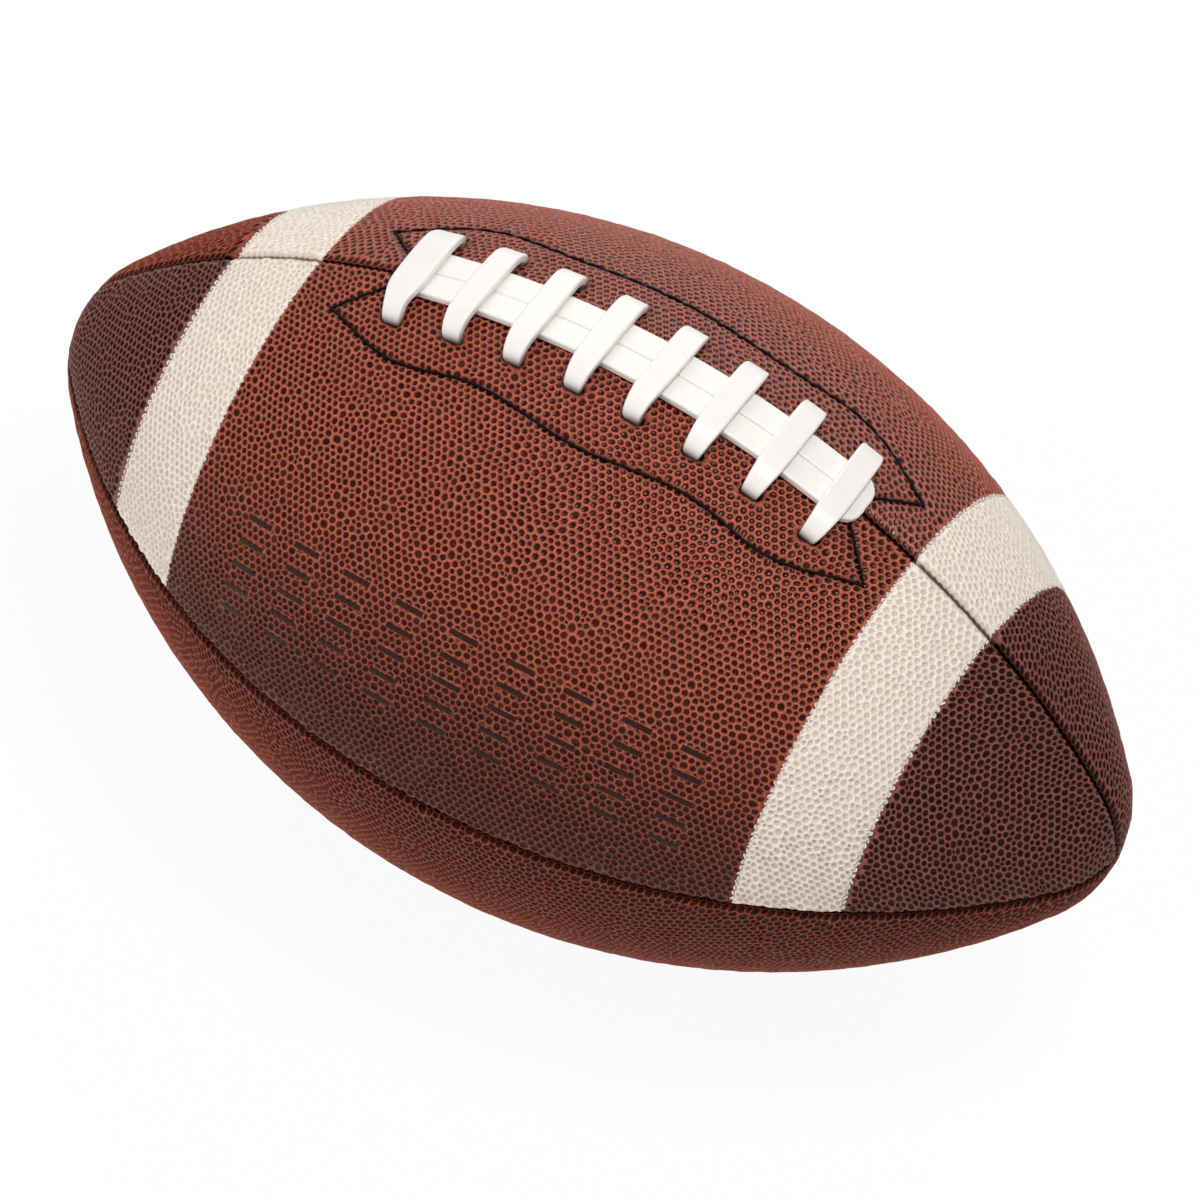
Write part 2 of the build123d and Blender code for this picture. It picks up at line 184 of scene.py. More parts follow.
TIP_RUN = SIDE_RUN + NOSE_RADIUS * (math.pi / 2 - SIDE_TURN)


def meridian(s):
    """x, girth radius and surface tilt at a distance s along the ball's outline from its middle."""
    run = np.abs(s)
    on_nose = run >= SIDE_RUN
    tilt = np.where(on_nose, SIDE_TURN + (run - SIDE_RUN) / NOSE_RADIUS, run / SIDE_RADIUS)
    x = np.where(on_nose, NOSE_CENTRE + NOSE_RADIUS * np.sin(tilt), SIDE_RADIUS * np.sin(tilt))
    girth = np.where(on_nose, NOSE_RADIUS * np.cos(tilt), SIDE_RADIUS * np.cos(tilt) + SIDE_CENTRE)
    return x * np.sign(s), girth, tilt * np.sign(s)


def half_widths(s):
    """A panel's half width at s: its flat part, the radius of its rolled edge, and the whole."""
    half = meridian(s)[1] * math.pi / 4 - SEAM_GAP / 2
    roll = np.minimum(SEAM_ROLL, ROLL_SHARE * half)
    flat = half - roll
    return flat, roll, flat + roll * math.pi / 2 + np.minimum(TURN_IN, ROLL_SHARE * half)


def on_ball(panel, s, w, lift):
    """Points of a panel from its flat pattern: s along the ball, w round it, lift off the leather."""
    x, girth, tilt = meridian(s)
    flat, roll, _ = half_widths(s)
    past = np.maximum(np.abs(w) - flat, 0)
    turn = np.minimum(past / roll, math.pi / 2)
    sink = roll * (1 - np.cos(turn)) + np.maximum(past - roll * math.pi / 2, 0)
    arc = np.minimum(np.abs(w), flat) + roll * np.sin(turn)
    angle = math.radians(MIDDLE_ANGLE[panel]) + np.sign(w) * arc / girth
    out = np.stack([np.sin(tilt), -np.cos(tilt) * np.sin(angle), np.cos(tilt) * np.cos(angle)], 1)
    across = np.stack([0 * angle, -np.cos(angle), -np.sin(angle)], 1) * np.sign(w)[:, None]
    skin = np.stack([x, -girth * np.sin(angle), girth * np.cos(angle)], 1)
    return skin + out * (lift * np.cos(turn) - sink)[:, None] + across * (lift * np.sin(turn))[:, None]


RAGGED_EDGE = 0.22


def end_line(panel, stripe, offset):
    """A panel's end line along one ragged edge of a stripe, as s for each w."""
    middle, lean = stripe

    def place(w):
        w = np.asarray(w, float)
        s = np.full(len(w), middle)
        for _ in range(12):
            point = on_ball(panel, s, w, 0 * w)
            miss = (point[:, 0] - middle) * math.cos(lean) - point[:, 1] * math.sin(lean) - offset
            s = s - miss / np.cos(meridian(s)[2])
        return s + RAGGED_EDGE * (np.sin(3.1 * w + offset) + 0.7 * np.sin(5.3 * w + 2 * offset))

    return place


def tip_line(end):
    """A panel's end line close to the ball's tip."""
    return lambda w: np.full(len(w), end * (TIP_RUN - POLE_GAP))


def distance_from(line, at):
    """Distance of pattern points from a line drawn on the pattern."""
    nearest = np.full(len(at), 1e9)
    for start, end in zip(line[:-1], line[1:]):
        run = end - start
        t = np.clip((at - start) @ run / (run @ run), 0, 1)
        nearest = np.minimum(nearest, np.linalg.norm(at - start - t[:, None] * run, axis=1))
    return nearest


def inside(loop, at):
    """Which pattern points lie inside a closed loop."""
    odd = np.zeros(len(at), bool)
    for (s0, w0), (s1, w1) in zip(loop, np.roll(loop, -1, 0)):
        crosses = (w0 > at[:, 1]) != (w1 > at[:, 1])
        if crosses.any():
            odd ^= crosses & (at[:, 0] < s0 + (at[:, 1] - w0) / (w1 - w0) * (s1 - s0))
    return odd


def spaced(start, end, pitch):
    """Evenly spaced values from start to end."""
    return np.linspace(start, end, max(2, round(abs(end - start) / pitch) + 1))


def joined(points, loops=()):
    """Triangles between pattern points, inside the first loop and outside the others."""
    edges = [pair for loop in loops for pair in zip(loop, loop[1:] + loop[:1])]
    triangles = np.array(delaunay_2d_cdt([Vector(p) for p in points], edges, [], 0, 1e-7, False)[2])
    middles = points[triangles].mean(1)
    for number, loop in enumerate(loops):
        within = inside(points[loop], middles)
        keep = within if number == 0 else ~within
        triangles, middles = triangles[keep], middles[keep]
    return triangles


PEBBLE_PITCH = 1.9
PEBBLE_HEIGHT = 0.65
PEBBLE_SCATTER = 0.21
VALLEY = -0.52
DOME_SHARE = 0.5
PUCKER_PITCH = 1.8
PUCKER_HEIGHT = 0.6
CUT_PITCH = 0.6
INNER_PITCH = 9.0
FINE_RINGS = ((0.36, 0.1, 0.9), (0.68, 0.6, 0.3))
PLAIN_RINGS = ((0.48, 0.2, 0.7),)
EDGE_ROOM = 0.4 * PEBBLE_PITCH
WALL_ROOM = 2.0
PUCKER_PLACE, TURNED_PLACE = 0.5, 1.7
SEAM_SHADE = 0.5
HOLE_DIP, HOLE_DIP_REACH = 0.4, 1.2
HOLE_SHADE, HOLE_SHADE_REACH = 0.9, 0.5
STITCH_DIP, STITCH_DIP_REACH = 0.45, 0.8
STITCH_SHADE, STITCH_FLAT_REACH = 0.7, 1.5
PRESSED_RISE, PRESSED_MARGIN, PRESSED_GRAIN = 0.85, 0.4, 0.1


def pebble_places(rng, s_range, reach):
    """Pebble middles over a rectangle: a close-packed field that has been scattered and settled."""
    along = np.arange(*s_range, PEBBLE_PITCH)
    rows = np.arange(-reach, reach, PEBBLE_PITCH * math.sqrt(0.75))
    field = np.concatenate([np.stack([along + i % 2 * PEBBLE_PITCH / 2, np.full(len(along), w)], 1)
                            for i, w in enumerate(rows)])
    field += rng.normal(0, PEBBLE_SCATTER * PEBBLE_PITCH, field.shape)
    for _ in range(3):
        triangles = joined(field)
        total, count = np.zeros_like(field), np.zeros(len(field))
        for shift in (1, 2):
            np.add.at(total, triangles.ravel(), field[np.roll(triangles, shift, 1).ravel()])
            np.add.at(count, triangles.ravel(), 1)
        field += 0.5 * (total / np.maximum(count, 1)[:, None] - field)
    return field


def leather_piece(name, panel, left, right, seed, rings, height=PEBBLE_HEIGHT, holes=(), lines=(),
                  pressed=None):
    """One piece of pebbled leather between two end lines of a panel's pattern, as a closed mesh.

    Each pebble is a fan round its dome, with rings of (place, height, grain) out to the net."""
    rng = np.random.default_rng(seed)
    corners = {}
    for end_name, end in (("left", left), ("right", right)):
        for side in (-1, 1):
            w = np.array([40.0])
            for _ in range(8):
                w = half_widths(end(side * w))[2]
            corners[end_name, side] = float(end(side * w)[0]), float(side * w[0])

    low = spaced(corners["left", -1][0], corners["right", -1][0], PUCKER_PITCH)
    high = spaced(corners["right", 1][0], corners["left", 1][0], PUCKER_PITCH)
    right_w = spaced(corners["right", -1][1], corners["right", 1][1], CUT_PITCH)[1:-1]
    left_w = spaced(corners["left", 1][1], corners["left", -1][1], CUT_PITCH)[1:-1]
    points = [np.stack([low, -half_widths(low)[2]], 1), np.stack([right(right_w), right_w], 1),
              np.stack([high, half_widths(high)[2]], 1), np.stack([left(left_w), left_w], 1)]
    points = [np.concatenate(points)] + list(holes)
    starts = np.cumsum([0] + [len(loop) for loop in points]).tolist()
    loops = [list(range(a, b)) for a, b in zip(starts[:-1], starts[1:])]
    closed = [np.concatenate([hole, hole[:1]]) for hole in holes]
    edge_count = starts[-1]

    def clear(at, room):
        """Which pattern points lie on the piece, at least room from its edges."""
        keep = np.abs(at[:, 1]) < half_widths(at[:, 0])[0] - room
        keep &= (at[:, 0] > left(at[:, 1]) + room) & (at[:, 0] < right(at[:, 1]) - room)
        for hole, rim in zip(holes, closed):
            keep &= ~inside(hole, at) & (distance_from(rim, at) > room)
        return keep

    s_places = [s for s, _ in corners.values()]
    s_range = min(s_places) - PEBBLE_PITCH, max(s_places) + PEBBLE_PITCH
    reach = float(half_widths(np.zeros(1))[2][0])
    pebbles = pebble_places(rng, s_range, reach)
    pebbles = pebbles[clear(pebbles, EDGE_ROOM)]
    puckers, turned = [], []
    for side in (-1, 1):
        ends = corners["left", side][0], corners["right", side][0]
        s = spaced(ends[0] + PUCKER_PITCH / 2, ends[1] - PUCKER_PITCH / 2, PUCKER_PITCH)
        flat, roll, _ = half_widths(s)
        puckers.append(np.stack([s + rng.normal(0, 0.2, len(s)), side * (flat + PUCKER_PLACE * roll)], 1))
        turned.append(np.stack([s, side * (flat + TURNED_PLACE * roll)], 1))
    points = np.concatenate(points + [pebbles] + puckers + turned)
    first_pucker = edge_count + len(pebbles)
    first_turned = first_pucker + sum(len(row) for row in puckers)
    dome, top_grain, crease_shade = np.zeros(len(points)), np.full(len(points), 0.2), np.zeros(len(points))
    dome[:edge_count] = 0.6 * height
    dome[edge_count:first_pucker] = height
    dome[first_pucker:first_turned] = PUCKER_HEIGHT
    dome *= np.clip(rng.normal(1, 0.15, len(points)), 0.6, 1.35)
    top_grain[edge_count:first_turned] = 1.0
    # Painted shade: the rows turned into the seam take the full groove colour.
    crease_shade[first_turned:] = 1.0
    tone = rng.random(len(points))
    for line in lines:
        dome *= np.clip(distance_from(line, points) / STITCH_FLAT_REACH, 0.2, 1)

    triangles = joined(points, loops)
    n, m = len(points), len(triangles)
    corner = triangles.ravel()
    valleys = points[triangles].mean(1)
    at, raised = [points, valleys], [DOME_SHARE * dome, dome[triangles].mean(1)]
    grain, tones = [top_grain, np.zeros(m)], [tone, np.full(m, 0.5)]
    in_seam = (triangles >= first_turned).any(1)
    crease_shades = [crease_shade, np.where(in_seam, SEAM_SHADE, 0.0)]
    for place, ring_height, ring_grain in rings:
        at.append(points[corner] * (1 - place) + np.repeat(valleys, 3, 0) * place)
        raised.append(ring_height * dome[corner])
        grain.append(ring_grain * top_grain[corner])
        tones.append(tone[corner])
        shade = SEAM_SHADE * place**2 * np.repeat(in_seam, 3)
        crease_shades.append(np.where(corner >= first_turned, 1.0, shade))
    at, lift = np.concatenate(at), VALLEY + np.concatenate(raised)
    grain, tones, crease_shades = np.concatenate(grain), np.concatenate(tones), np.concatenate(crease_shades)
    # Painted shade round the lace slots and along the stitch grooves.
    for rim in closed:
        away = distance_from(rim, at)
        lift -= HOLE_DIP * np.exp(-(away / HOLE_DIP_REACH) ** 2)
        crease_shades = np.maximum(crease_shades, HOLE_SHADE * np.exp(-away / HOLE_SHADE_REACH))
    for line in lines:
        away = distance_from(line, at)
        near = np.exp(-(away / STITCH_DIP_REACH) ** 2)
        lift -= STITCH_DIP * near
        crease_shades = np.maximum(crease_shades, STITCH_SHADE * near)

    if pressed:
        lift = np.where(pressed(at, 0.0), VALLEY + PRESSED_RISE * height, lift)
        grain = np.where(pressed(at, PRESSED_MARGIN), np.minimum(grain, PRESSED_GRAIN), grain)

    def chain(point, triangle, k):
        """Vertices from a pebble's top out to the valley at a triangle's middle."""
        steps = [n + m + 3 * m * ring + 3 * triangle + k % 3 for ring in range(len(rings))]
        return [point] + steps + [n + triangle]

    t = np.tile(np.arange(m), 3)
    k = np.repeat(np.arange(3), m)
    a, b = triangles[t, k], triangles[t, (k + 1) % 3]
    key = np.minimum(a, b) * n + np.maximum(a, b)
    order = np.argsort(key, kind="stable")
    paired = np.flatnonzero(key[order][1:] == key[order][:-1])
    first, second = order[paired], order[paired + 1]
    single = np.setdiff1d(np.arange(3 * m), np.concatenate([first, second]))
    faces = []
    sides = ((chain(a[first], t[first], k[first]), chain(a[first], t[second], k[second] + 1)),
             (chain(b[first], t[second], k[second]), chain(b[first], t[first], k[first] + 1)))
    for one, two in sides:
        faces += np.stack([one[0], one[1], two[1]], 1).tolist()
        for inner, outer in zip(range(1, len(rings) + 1), range(2, len(rings) + 2)):
            faces += np.stack([one[inner], one[outer], two[outer], two[inner]], 1).tolist()
    rim_chain = chain(a[single], t[single], k[single]) + chain(b[single], t[single], k[single] + 1)[-2::-1]
    faces += np.stack(rim_chain, 1).tolist()
    grained_faces = len(faces)

    grid = np.meshgrid(np.arange(*s_range, INNER_PITCH), np.arange(-reach, reach, INNER_PITCH))
    grid = np.stack(grid, -1).reshape(-1, 2)
    wall = np.concatenate([points[:edge_count], grid[clear(grid, WALL_ROOM)]])
    base = len(at)
    faces += (base + joined(wall, loops)).tolist()
    faces += np.stack([a[single], b[single], base + b[single], base + a[single]], 1).tolist()
    at = np.concatenate([at, wall])
    lift = np.concatenate([lift, np.full(len(wall), -LEATHER)])

    mesh = bpy.data.meshes.new(name)
    mesh.from_pydata((on_ball(panel, at[:, 0], at[:, 1], lift) * MM).tolist(), [], faces)
    mesh.polygons.foreach_set("use_smooth", np.arange(len(faces)) < grained_faces)
    rest = np.zeros(len(wall))
    for attribute, values in (("grain", grain), ("tone", tones), ("crease_shade", crease_shades)):
        values = np.concatenate([values, rest]).astype(np.float32)
        mesh.attributes.new(attribute, "FLOAT", "POINT").data.foreach_set("value", values)
    pattern = mesh.attributes.new("pattern", "FLOAT2", "POINT")
    pattern.data.foreach_set("vector", at.astype(np.float32).ravel())
    chart = (at - at.min(0)) / (at.max(0) - at.min(0))
    chart[:base, 1] *= 0.9
    chart[base:, 1] = 0.92 + 0.08 * chart[base:, 1]
    corner_vertex = np.zeros(len(mesh.loops), np.int32)
    mesh.loops.foreach_get("vertex_index", corner_vertex)
    bake_map = mesh.uv_layers.new(name="OFBake")
    bake_map.data.foreach_set("uv", chart[corner_vertex].astype(np.float32).ravel())
    piece = bpy.data.objects.new(name, mesh)
    bpy.context.scene.collection.objects.link(piece)
    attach(piece, "root")
    return piece


PATCH_SIZE = 25.0
SPECKLE_SIZE = 1.1
WRINKLE_SIZE = 0.6
WRINKLE_DEPTH = 0.25
WARM_SHINE = "#ffccbb"


def pebbled_leather(name, colours, shine, tint=WARM_SHINE, speckled=1.0, pit_share=1.0):
    """Embossed hide: a matt wrinkled net, dark pits with a dull shine, and painted shade in seams and
    grooves.

    The colours are those of the net's ridge and slope, the pit, its dome, faded patches and the
    painted shade of grooves; ridge and pit colours are partly a two-tone finish, partly painted light and
    shade."""
    ridge, slope, pit, dome_top, patches, groove_shade = (colour(hex_code) for hex_code in colours)
    material, tree, shader, place = start_material(name, 0.5)
    shader.inputs["Specular IOR Level"].default_value = shine
    shader.inputs["Specular Tint"].default_value = colour(tint)
    grain, tone, crease_shade = (add_node(tree, "ShaderNodeAttribute", {"attribute_name": kept}).outputs["Fac"]
                           for kept in ("grain", "tone", "crease_shade"))
    pit_width = add_node(tree, "ShaderNodeMath", {"operation": "MULTIPLY", 1: pit_share}, {0: grain})
    # The ramp from light ridge to dark pit is partly a two-tone finish, partly painted light on the ridges
    # and painted shade in the pits.
    ramp = add_node(tree, "ShaderNodeValToRGB", {}, {"Fac": pit_width.outputs["Value"]})
    stops = ramp.color_ramp.elements
    stops[0].position, stops[0].color = 0.05, ridge
    stops[1].position, stops[1].color = 1.0, dome_top
    for position, shade in ((0.3, slope), (0.5, pit), (0.85, pit)):
        stops.new(position).color = shade
    patch = add_node(tree, "ShaderNodeTexNoise", {"Scale": 1 / (PATCH_SIZE * MM), "Detail": 5.0},
                     {"Vector": place})
    mottle = add_node(tree, "ShaderNodeMath", {"operation": "MULTIPLY"}, {0: patch.outputs["Fac"], 1: tone})
    faded = add_node(tree, "ShaderNodeMath", {"operation": "MULTIPLY", 1: 0.4},
                     {0: mottle.outputs["Value"]})
    hide = add_node(tree, "ShaderNodeMixRGB", {"Color2": patches},
                    {"Fac": faded.outputs["Value"], "Color1": ramp.outputs["Color"]})
    speckle = add_node(tree, "ShaderNodeTexNoise", {"Scale": 1 / (SPECKLE_SIZE * MM), "Detail": 4.0},
                       {"Vector": place})
    uneven = add_node(tree, "ShaderNodeMapRange",
                      {"From Min": 0.3, "From Max": 0.7, "To Min": 0.62, "To Max": 1.2},
                      {"Value": speckle.outputs["Fac"]})
    worn = add_node(tree, "ShaderNodeMixRGB", {"blend_type": "MULTIPLY", "Fac": speckled},
                    {"Color1": hide.outputs["Color"], "Color2": uneven.outputs["Result"]})
    # Painted shade: the crease attribute turns seams, slot rims and stitch grooves towards the groove colour.
    crease_shaded = add_node(tree, "ShaderNodeMixRGB", {"Color2": groove_shade},
                    {"Fac": crease_shade, "Color1": worn.outputs["Color"]})
    gloss = add_node(tree, "ShaderNodeMapRange",
                     {"From Min": 0.0, "From Max": 1.0, "To Min": 0.4, "To Max": 0.2}, {"Value": grain})
    wrinkle = add_node(tree, "ShaderNodeTexNoise", {"Scale": 1 / (WRINKLE_SIZE * MM), "Detail": 3.0},
                       {"Vector": place})
    on_net = add_node(tree, "ShaderNodeMapRange",
                      {"From Min": 0.3, "From Max": 0.7, "To Min": 1.0, "To Max": 0.2}, {"Value": grain})
    bump = add_node(tree, "ShaderNodeBump", {"Distance": WRINKLE_DEPTH * MM},
                    {"Height": wrinkle.outputs["Fac"], "Strength": on_net.outputs["Result"]})
    tree.links.new(gloss.outputs["Result"], shader.inputs["Roughness"])
    tree.links.new(bump.outputs["Normal"], shader.inputs["Normal"])
    tree.links.new(crease_shaded.outputs["Color"], shader.inputs["Base Color"])
    return material, crease_shaded, pit_width


LEFT_STRIPE = (-91.9, math.radians(-0.75))
RIGHT_STRIPE = (86.9, math.radians(2.5))
STRIPE_WIDTH = 21.5
PIECE_GAP = 0.02
BAR_COUNT = 8
BAR_PITCH = 15.75
BAR_X = [(i - (BAR_COUNT - 1) / 2) * BAR_PITCH for i in range(BAR_COUNT)]
SLOT_FROM_SEAM = 14.3
SLOT_HALF_LENGTH = 2.7
SLOT_HALF_WIDTH = 1.25
VALVE_HOLE = 4.1
FACING_MIDDLE = {"front_top": 27.4, "back_top": 25.2}


def from_seam(panel, x, arc):
    """Pattern point at x along the ball and a distance round it from the lace seam."""
    s = SIDE_RADIUS * math.asin(x / SIDE_RADIUS)
    girth = SIDE_RADIUS * math.cos(s / SIDE_RADIUS) + SIDE_CENTRE
    return s, SEAM_SIDE[panel] * (girth * math.pi / 4 - arc)


def lace_slot(panel, x):
    """Outline of one lace slot on a panel's pattern."""
    s, w = from_seam(panel, x, SLOT_FROM_SEAM)
    turns = np.radians([-90, -54, -18, 18, 54, 90, 90, 126, 162, 198, 234, 270])
    ends = np.repeat([1, -1], 6) * (SLOT_HALF_LENGTH - SLOT_HALF_WIDTH)
    return np.stack([s + ends + SLOT_HALF_WIDTH * np.cos(turns), w + SLOT_HALF_WIDTH * np.sin(turns)], 1)


def curve_through(points, steps):
    """A smooth line through some points."""
    points = np.asarray(points, float)
    padded = np.concatenate([2 * points[:1] - points[1:2], points, 2 * points[-1:] - points[-2:-1]])
    t = np.linspace(0, 1, steps, endpoint=False)[:, None]
    runs = []
    for p0, p1, p2, p3 in zip(padded, padded[1:], padded[2:], padded[3:]):
        bend = 2 * p0 - 5 * p1 + 4 * p2 - p3 + t * (3 * (p1 - p2) + p3 - p0)
        runs.append(p1 + 0.5 * t * (p2 - p0 + t * bend))
    return np.concatenate(runs + [points[-1:]])


def facing_line(panel):
    """Stitch line round the lace facing on a panel's pattern, from one end of the laces to the other."""
    half = [(70.5, 14.6), (50.0, 24.4), (27.0, 23.8)]
    outer = [(-x, arc) for x, arc in half] + [(0, FACING_MIDDLE[panel])] + half[::-1]
    line = [(-60.5, 4.6)] + curve_through(outer, 8).tolist() + [(60.5, 4.6)]
    return np.array([from_seam(panel, x, arc) for x, arc in line])


facing_lines = {panel: facing_line(panel) for panel in SEAM_SIDE}
BROWN_HIDE = ("#b8634f", "#823828", "#1a0805", "#3a160e", "#7a3a2b", "#0d0504")
# The bottom panels take a darker copy of the brown hide, with wider pits, as painted shade.
UNDERSIDE_SHADED_HIDE = ("#a0523f", "#702f20", "#140604", "#31140d", "#5f2b1f", "#0d0504")
brown_leather, *_ = pebbled_leather("brown_pebbled_leather", BROWN_HIDE, 0.38, tint="#ffffff")
underside_shaded_leather, *_ = pebbled_leather("underside_shaded_pebbled_leather", UNDERSIDE_SHADED_HIDE, 0.1, pit_share=1.15)

# Printed dashes: short dashes of dark ink in rows along the front lace panel, pressed flat into
# its pebbles. Painted shade darkens that panel, and widens its dark pits, towards its lower seam.
DASH_PITCH = (14.7, 6.0)
DASH_SIZE = (7.4, 1.45)
DASH_FROM = (-68.0, 12.0)
DASH_TO = (64.5, 42.0)
DASH_INK, INK_SHARE = "#15100d", 0.95
LOW_SHADE_FROM, LOW_SHADE_TO, LOW_SHADE_SHARE = 6.0, 45.0, 0.45
PIT_SHADE_FROM, PIT_SHADE_TO, PIT_SHADE_SHARE = -10.0, 35.0, 1.5


def on_dash(at, margin):
    """Which pattern points lie on a printed dash or within a margin of it."""
    off = np.abs((at - DASH_FROM) % DASH_PITCH - np.array(DASH_PITCH) / 2)
    return ((off < np.array(DASH_SIZE) / 2 + margin) & (at > DASH_FROM) & (at < DASH_TO)).all(1)


printed_leather, plain, pit_width = pebbled_leather("printed_pebbled_leather", BROWN_HIDE, 0.28)
tree = printed_leather.node_tree
pattern = add_node(tree, "ShaderNodeAttribute", {"attribute_name": "pattern"})
place = add_node(tree, "ShaderNodeSeparateXYZ", {}, {"Vector": pattern.outputs["Vector"]})
masks = []
for axis in (0, 1):
    at = place.outputs[axis]
    from_start = add_node(tree, "ShaderNodeMath", {"operation": "SUBTRACT", 1: DASH_FROM[axis]}, {0: at})
    in_row = add_node(tree, "ShaderNodeMath", {"operation": "PINGPONG", 1: DASH_PITCH[axis] / 2},
                      {0: from_start.outputs["Value"]})
    gap = (DASH_PITCH[axis] - DASH_SIZE[axis]) / 2
    masks += [add_node(tree, "ShaderNodeMath", {"operation": "GREATER_THAN", 1: gap},
                       {0: in_row.outputs["Value"]}),
              add_node(tree, "ShaderNodeMath", {"operation": "GREATER_THAN", 1: DASH_FROM[axis]}, {0: at}),
              add_node(tree, "ShaderNodeMath", {"operation": "LESS_THAN", 1: DASH_TO[axis]}, {0: at})]
mask = masks[0]
for other in masks[1:]:
    mask = add_node(tree, "ShaderNodeMath", {"operation": "MULTIPLY"},
                    {0: mask.outputs["Value"], 1: other.outputs["Value"]})
ink = add_node(tree, "ShaderNodeMath", {"operation": "MULTIPLY", 1: INK_SHARE}, {0: mask.outputs["Value"]})
# Painted shade: the panel darkens, and its dark pits widen, towards its lower seam.
low_shade = add_node(tree, "ShaderNodeMapRange",
               {"From Min": LOW_SHADE_FROM, "From Max": LOW_SHADE_TO, "To Min": 1.0, "To Max": LOW_SHADE_SHARE},
               {"Value": place.outputs["Y"]})
wider_pit_shade = add_node(tree, "ShaderNodeMapRange",
                 {"From Min": PIT_SHADE_FROM, "From Max": PIT_SHADE_TO, "To Min": 1.0, "To Max": PIT_SHADE_SHARE},
                 {"Value": place.outputs["Y"]})
tree.links.new(wider_pit_shade.outputs["Result"], pit_width.inputs[1])
low_shaded = add_node(tree, "ShaderNodeMixRGB", {"blend_type": "MULTIPLY", "Fac": 1.0},
                {"Color1": plain.outputs["Color"], "Color2": low_shade.outputs["Result"]})
printed = add_node(tree, "ShaderNodeMixRGB", {"Color2": colour(DASH_INK)},
                   {"Fac": ink.outputs["Value"], "Color1": low_shaded.outputs["Color"]})
tree.links.new(printed.outputs["Color"], tree.nodes["Principled BSDF"].inputs["Base Color"])

# Panel pieces: the two lace panels end at the stripes and are slotted for the lace. The two bottom
# ones run from tip to tip, and the back one has the hole for the valve.
PANEL_LEATHER = {"front_top": printed_leather, "back_top": brown_leather}
stripe_edge = (STRIPE_WIDTH + PIECE_GAP) / 2
turns = np.radians(np.arange(0, 360, 20))
valve_hole = VALVE_HOLE * np.stack([np.cos(turns), np.sin(turns)], 1)
for seed, panel in enumerate(MIDDLE_ANGLE):
    if panel in SEAM_SIDE:
        piece = leather_piece(f"{panel}_leather", panel, end_line(panel, LEFT_STRIPE, stripe_edge),
                              end_line(panel, RIGHT_STRIPE, -stripe_edge), seed, FINE_RINGS,
                              holes=[lace_slot(panel, x) for x in BAR_X], lines=[facing_lines[panel]],
                              pressed=on_dash if panel == "front_top" else None)
    else:
        piece = leather_piece(f"{panel}_leather", panel, tip_line(-1), tip_line(1), seed, PLAIN_RINGS,
                              holes=[valve_hole] if panel == "back_bottom" else [])
    piece.data.materials.append(PANEL_LEATHER.get(panel, underside_shaded_leather))
    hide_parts(f"{panel}_panel")

# Tips: the ends of the two lace panels are a darker piece of the same leather, but for the back
# one on the left, which is brown like its panel.
ENDS = {"left": (LEFT_STRIPE, -1), "right": (RIGHT_STRIPE, 1)}
DARK_HIDE = ("#905a50", "#5f3128", "#100605", "#281512", "#4d2b26", "#0b0504")
dark_leather, *_ = pebbled_leather("dark_pebbled_leather", DARK_HIDE, 0.12, pit_share=1.15)
for seed, panel in enumerate(SEAM_SIDE):
    side = panel.split("_")[0]
    for end_name, (stripe, end) in ENDS.items():
        ends = [end_line(panel, stripe, end * stripe_edge), tip_line(end)][::end]
        piece = leather_piece(f"{side}_{end_name}_tip_leather", panel, *ends, 30 + 2 * seed + end,
                              FINE_RINGS)
        # The back left tip takes the same darker copy of the brown hide, with its painted shade.
        brown = (side, end_name) == ("back", "left")
        piece.data.materials.append(underside_shaded_leather if brown else dark_leather)
        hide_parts(f"{side}_{end_name}_tip")

# Stripes: cream leather let in between panel and tip. Its pebbles are pressed by the same plate, a
# little deeper, and its pits are only slightly darker than the net, as painted shade.
CREAM_HIDE = ("#f0e7dd", "#e8ddd2", "#d8c4b3", "#e2d5c8", "#dccdbe", "#c0a896")
STRIPE_PEBBLE_HEIGHT = 0.7
cream_leather, *_ = pebbled_leather("cream_pebbled_leather", CREAM_HIDE, 0.32, speckled=0.3)
inset = (STRIPE_WIDTH - PIECE_GAP) / 2
for seed, panel in enumerate(SEAM_SIDE):
    side = panel.split("_")[0]
    for end_name, (stripe, end) in ENDS.items():
        piece = leather_piece(f"{side}_{end_name}_stripe_leather", panel, end_line(panel, stripe, -inset),
                              end_line(panel, stripe, inset), 20 + 2 * seed + end, FINE_RINGS,
                              height=STRIPE_PEBBLE_HEIGHT)
        piece.data.materials.append(cream_leather)
        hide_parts(f"{side}_{end_name}_stripe")

# Seam threads: waxed brown lockstitch, hidden inside the turned seams.
SEAM_BROWN = "#3a241d"
THREAD_PLY = 0.5


def twisted_thread(name, hex_code):
    """Waxed twisted thread: fine slanting plies with a dull shine."""
    material, tree, shader, place = start_material(name, 0.6)
    shader.inputs["Specular IOR Level"].default_value = 0.15
    turned = add_node(tree, "ShaderNodeMapping", {"Rotation": (0.6, 0.5, 0.7)}, {"Vector": place})
    plies = add_node(tree, "ShaderNodeTexWave", {"Scale": WAVE_SCALE / (THREAD_PLY * MM), "Distortion": 1.0},
                     {"Vector": turned.outputs["Vector"]})
    patterned(tree, shader, hex_code, plies.outputs["Fac"], 0.35, 0.4, 0.1)
    return material


seam_thread = twisted_thread("seam_thread", SEAM_BROWN)
for seam in ("top", "front", "bottom", "back"):
    dress(f"{seam}_seam_thread", seam_thread)

# Facing stitches: a black two-ply waxed thread sewn through the leather round the lace facing. It
# lies in the groove that it pulls, and dips where the needle went through.
BLACK_THREAD = "#0e0806"
FACING_THREAD_RADIUS = 0.33
FACING_STITCH = 5.0
FACING_THREAD_LAY = 2.2
FACING_THREAD_SINK = 0.35


